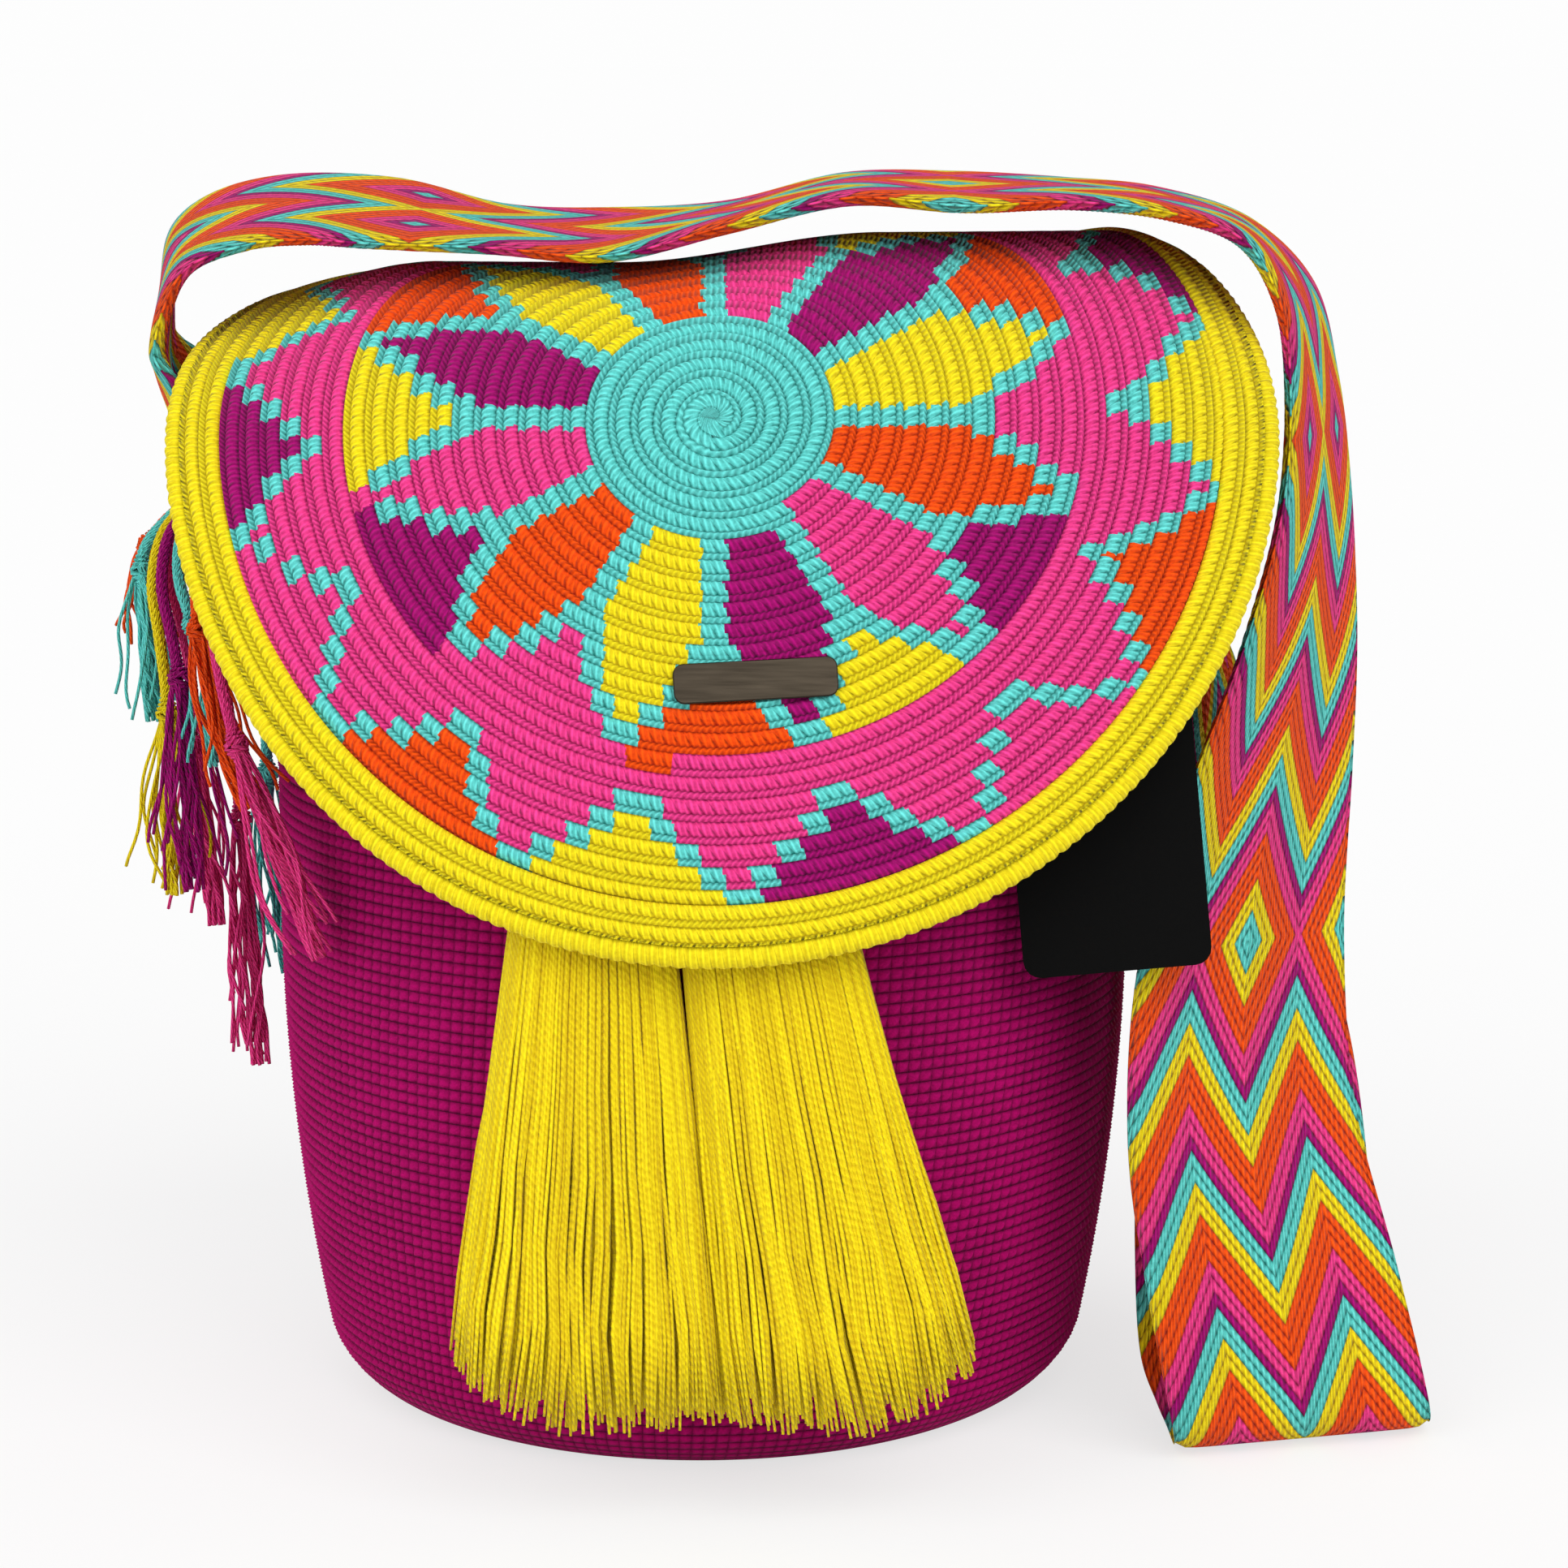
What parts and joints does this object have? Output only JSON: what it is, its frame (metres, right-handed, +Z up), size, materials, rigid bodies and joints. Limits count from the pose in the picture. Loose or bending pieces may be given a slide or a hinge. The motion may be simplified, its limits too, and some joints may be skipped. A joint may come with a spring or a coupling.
{
  "type": "crocheted shoulder bag",
  "caption": "Crocheted bucket bag with a round patterned flap, a laced drawcord mouth, hanging yarn tassels, a wide plaited strap with a fringed end, a small metal plate and a card tag.",
  "frame": {"origin": "centre of the flat round base, on the surface the bag stands on", "axes": "+Z up, the flap and tassels face -Y, +X is the viewer's right when looking at the front"},
  "size_m": [0.401, 0.2958, 0.3782],
  "materials": {
    "purple_yarn": "matte crocheted cotton yarn in close rows",
    "flap_yarn": "matte crocheted cotton yarn in a five-colour star pattern",
    "strap_yarn": "matte plaited cotton cords in five-colour zigzags",
    "yellow_yarn": "soft twisted yarn with a slight sheen",
    "pink_yarn": "soft twisted yarn",
    "orange_yarn": "soft twisted yarn",
    "turquoise_yarn": "soft twisted yarn",
    "dark_plate": "polished dark bronze metal",
    "black_card": "smooth matte card",
    "white_card": "smooth matte card",
    "black_string": "thin twisted string"
  },
  "bodies": {
    "bag": {"bag_body": "purple_yarn", "drawcord": "yellow_yarn", "flap": "flap_yarn", "name_plate": "dark_plate", "strap": "strap_yarn", "fringe_cord_01": "pink_yarn", "fringe_cord_02": "orange_yarn", "fringe_cord_03": "turquoise_yarn", "fringe_cord_04": "purple_yarn", "fringe_cord_05": "yellow_yarn", "fringe_cord_06": "turquoise_yarn", "fringe_cord_07": "orange_yarn", "fringe_cord_08": "pink_yarn", "fringe_cord_09": "pink_yarn", "fringe_cord_10": "turquoise_yarn"},
    "tassel_left_body": {"tassel_left": "yellow_yarn", "tassel_tie_left": "yellow_yarn"},
    "tassel_right_body": {"tassel_right": "yellow_yarn", "tassel_tie_right": "yellow_yarn"},
    "tag": {"tag_card_black": "black_card", "tag_card_white": "white_card", "tag_string": "black_string"}
  },
  "joints": [
    {"name": "tassel_left_swing", "type": "hinge", "parent": "bag", "child": "tassel_left_body", "pos_m": [-0.029, -0.1339, 0.203], "axis": [0, 1, 0], "range_deg": [0, 12]},
    {"name": "tassel_right_swing", "type": "hinge", "parent": "bag", "child": "tassel_right_body", "pos_m": [0.017, -0.1339, 0.203], "axis": [0, -1, 0], "range_deg": [0, 12]},
    {"name": "tag_swing", "type": "hinge", "parent": "bag", "child": "tag", "pos_m": [0.10897, -0.06712, 0.26406], "axis": [0, 1, 0], "range_deg": [-20, 4]}
  ]
}
